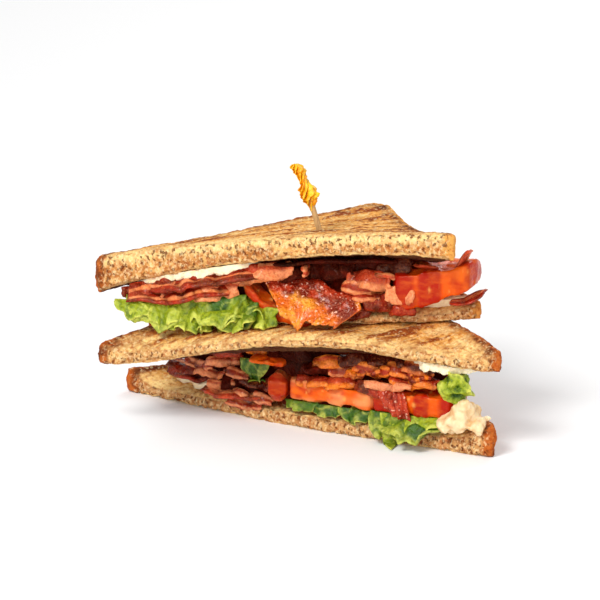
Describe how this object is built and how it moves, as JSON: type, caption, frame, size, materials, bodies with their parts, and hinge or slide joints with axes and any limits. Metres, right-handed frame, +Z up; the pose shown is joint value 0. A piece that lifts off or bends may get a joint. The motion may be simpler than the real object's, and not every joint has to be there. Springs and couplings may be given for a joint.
{
  "type": "blt sandwich",
  "caption": "Bacon, lettuce and tomato sandwich on wholegrain toast, cut into triangular halves that are stacked and pinned with a frilled wooden pick.",
  "frame": {"origin": "centre of the bounding box, at the underside of the lowest slice", "axes": "+X along the cut faces, to the right as seen from the front; +Y away from the cut faces, towards the crust corner; +Z up"},
  "size_m": [0.1574, 0.1086, 0.104],
  "materials": {
    "toast": "porous wholegrain crumb, toasted brown, dry",
    "mayonnaise": "smooth, moist",
    "bacon": "fried, oily, streaked with fat",
    "crisp_bacon": "fried dark, oily",
    "tomato": "wet cut flesh",
    "lettuce": "fresh leaf, slightly waxy",
    "dark_lettuce": "fresh leaf, slightly waxy",
    "pick_wood": "plain, dry",
    "frill_paper": "thin curled paper"
  },
  "bodies": {
    "root": {"bacon_lower_back": "bacon", "bacon_lower_back_left": "bacon", "bacon_lower_bit": "bacon", "bacon_lower_crisp_left": "bacon", "bacon_lower_crisp_right": "bacon", "bacon_lower_dark": "crisp_bacon", "bacon_lower_drape": "bacon", "bacon_lower_left": "bacon", "bacon_lower_ragged": "bacon", "bacon_upper_back_left": "bacon", "bacon_upper_back_mid": "bacon", "bacon_upper_back_right": "bacon", "bacon_upper_chunk": "bacon", "bacon_upper_dark": "crisp_bacon", "bacon_upper_fold": "bacon", "bacon_upper_front": "bacon", "bacon_upper_left_high": "bacon", "bacon_upper_left_low": "bacon", "bacon_upper_tip_high": "bacon", "bacon_upper_tip_low": "bacon", "bread_bottom": "toast", "bread_lower_lid": "toast", "bread_top": "toast", "bread_upper_base": "toast", "frill": "frill_paper", "lettuce_lower": "lettuce", "lettuce_lower_curl": "lettuce", "lettuce_lower_dark": "dark_lettuce", "lettuce_upper": "lettuce", "lettuce_upper_back": "lettuce", "mayo_bottom": "mayonnaise", "mayo_lump": "mayonnaise", "mayo_under_lid": "mayonnaise", "mayo_under_top": "mayonnaise", "mayo_upper_base": "mayonnaise", "pick_stick": "pick_wood", "tomato_lower_back": "tomato", "tomato_lower_back_right": "tomato", "tomato_lower_bit": "tomato", "tomato_lower_chunk": "tomato", "tomato_lower_left": "tomato", "tomato_lower_right": "tomato", "tomato_upper_left": "tomato", "tomato_upper_right": "tomato"}
  },
  "joints": []
}
